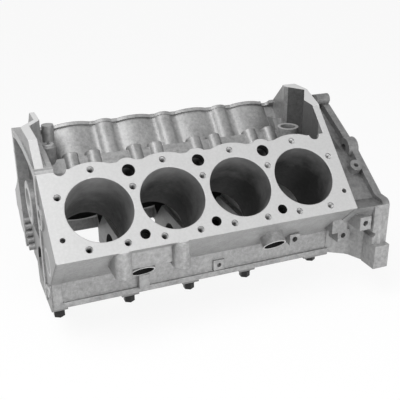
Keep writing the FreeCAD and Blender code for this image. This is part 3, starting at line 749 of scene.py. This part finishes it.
core_hole_lip = bmesh.new()
lip_centre = (BANK_FRONT,) + CORE_HOLE_PLACE
turned_ring(core_hole_lip, lip_centre, FORWARD, CORE_HOLE_LIP_RADIUS, CORE_HOLE_RADIUS,
            CORE_HOLE_LIP_HEIGHT, 0.0008)
finished_piece("core_hole_lip", core_hole_lip, turned.material)
# Painted shade: a dark disc stands for the inside of the core hole.
core_hole_mouth = bmesh.new()
add_cylinder(core_hole_mouth, CORE_HOLE_RADIUS + 0.0002, BANK_FRONT + SUNK, BANK_FRONT - 0.0004,
             *CORE_HOLE_PLACE)
finished_piece("core_hole_mouth", core_hole_mouth, hole_shade.material)
print("bosses on the wall:", len(WALL_BOSSES), "and one core hole mouth")

# %% Cover bolt holes
# Painted shade: dark discs stand for the insides of the cover bolt holes.
cover_bolt_holes = bmesh.new()
for side in (LEFT, RIGHT):
    for y, z in COVER_BOLTS:
        add_cylinder(cover_bolt_holes, COVER_BOLT_RADIUS, TIMING_FACE + SUNK, TIMING_FACE - 0.0002,
                     side * y, z)
finished_piece("cover_bolt_holes", cover_bolt_holes, hole_shade.material)
print("cover bolt holes:", 2 * len(COVER_BOLTS))

# %% [markdown]
# ## Floor, backdrop and light
#
# Parts catalogues show a block on plain white paper. The floor lies where the lowest bolt heads
# stand. A stronger lamp could burn the paper white, but it would bleach the iron too. Here the
# paper shows as white only to the camera and to reflections, so no extra light reaches the iron.
# A tenth of its own shading stays, for a faint shadow under the block. The sky does the same: it
# is full white to the eye and about a third of that as light. One broad lamp above gives the
# decks their brightness, and one at the front opens up the side.

# %% Floor
FLOOR_SIZE = 6.0
FLOOR_GAP = 0.0002
SHADOW_SHARE = 0.10
low_corner = cad_box[0]
floor_mesh = bmesh.new()
bmesh.ops.create_grid(floor_mesh, x_segments=1, y_segments=1, size=FLOOR_SIZE)
bmesh.ops.translate(floor_mesh, verts=floor_mesh.verts, vec=(0.0, 0.0, low_corner[2] - FLOOR_GAP))
floor_data = bpy.data.meshes.new("paper")
floor_mesh.to_mesh(floor_data)
floor_mesh.free()
floor = bpy.data.objects.new("paper", floor_data)
bpy.context.collection.objects.link(floor)
paper = Finish("white paper")
paper.feed("Base Color", grey(0.93))
paper.feed("Roughness", 0.9)


def seen_directly(tree):
    """1 for rays from the camera and for those that come by way of metal or glass."""
    rays = tree.nodes.new("ShaderNodeLightPath")
    camera, glossy, transmitted = (
        Expr(tree, rays.outputs[name])
        for name in ("Is Camera Ray", "Is Glossy Ray", "Is Transmission Ray")
    )
    return camera.largest(glossy).largest(transmitted)


glow = paper.node("ShaderNodeEmission", {}, {"Color": (1.0, 1.0, 1.0, 1.0), "Strength": 1.0})
whiteness = seen_directly(paper.tree) * (1.0 - SHADOW_SHARE)
whitened = paper.node("ShaderNodeMixShader", {}, {"Fac": whiteness})
surface = paper.tree.nodes["Material Output"].inputs["Surface"]
paper.tree.links.new(paper.shader.outputs["BSDF"], whitened.inputs[1])
paper.tree.links.new(glow.outputs["Emission"], whitened.inputs[2])
paper.tree.links.new(whitened.outputs["Shader"], surface)
floor_data.materials.append(paper.material)
print("floor at z =", round(low_corner[2], 4))

# %% World
AMBIENT = 0.36
world = bpy.data.worlds.new("studio")
world.use_nodes = True
bpy.context.scene.world = world
sky_tree = world.node_tree
sky = sky_tree.nodes["Background"]
strength = seen_directly(sky_tree) * (1.0 - AMBIENT) + AMBIENT
sky.inputs["Color"].default_value = (1.0, 1.0, 1.0, 1.0)
sky_tree.links.new(strength.socket, sky.inputs["Strength"])
print("world strength on the iron:", AMBIENT)

# %% Lamps
LAMP_SIZE = 1.1
LAMP_POWER = 31.0
LIT_POINT = (0.0, 0.0, 0.1)


def soft_lamp(name, place, aim, size, watts):
    """A square soft box at a place, turned to the point it lights."""
    data = bpy.data.lights.new(name, "AREA")
    data.size = size
    data.energy = watts
    lamp = bpy.data.objects.new(name, data)
    lamp.location = place
    direction = Vector(aim) - Vector(place)
    lamp.rotation_euler = direction.to_track_quat("-Z", "Y").to_euler()
    bpy.context.collection.objects.link(lamp)


soft_lamp("overhead softbox", (-0.9, -0.8, 1.8), LIT_POINT, LAMP_SIZE, LAMP_POWER)
soft_lamp("front fill", (0.3, -2.2, 0.4), LIT_POINT, LAMP_SIZE, LAMP_POWER)
print("lamps placed")

# %% [markdown]
# ## The camera
#
# The photograph was taken from the front left, a little above the block. A camera could be nudged
# until the picture fits, but the rims of the four near bores are true circles of known spacing,
# so the place and the lens were solved from them.

# %% Camera
CAMERA_PLACE = Vector((-0.4157, -1.1320, 0.6130))
CAMERA_FORWARD = Vector((0.3456, 0.8491, -0.3996))
CAMERA_ROLL = math.radians(-0.33)
SENSOR_WIDTH = 36.0
LENS = 60.61
camera_data = bpy.data.cameras.new("catalogue view")
camera_data.sensor_width = SENSOR_WIDTH
camera_data.lens = LENS
camera_data.clip_end = 50.0
camera = bpy.data.objects.new("catalogue view", camera_data)
camera.location = CAMERA_PLACE
aim = CAMERA_FORWARD.to_track_quat("-Z", "Y") @ Quaternion((0.0, 0.0, 1.0), CAMERA_ROLL)
camera.rotation_euler = aim.to_euler()
bpy.context.collection.objects.link(camera)
bpy.context.scene.camera = camera
bpy.context.scene.view_settings.view_transform = "Standard"
print("camera", LENS, "mm")

# %% [markdown]
# ## Sizes
#
# The dressed block should be as large as the CAD model, because every added ring is thin. The box of
# the CAD model is printed below.

# %% Print the box of the CAD model
print("cad box", [tuple(round(v, 4) for v in c) for c in cad_box])
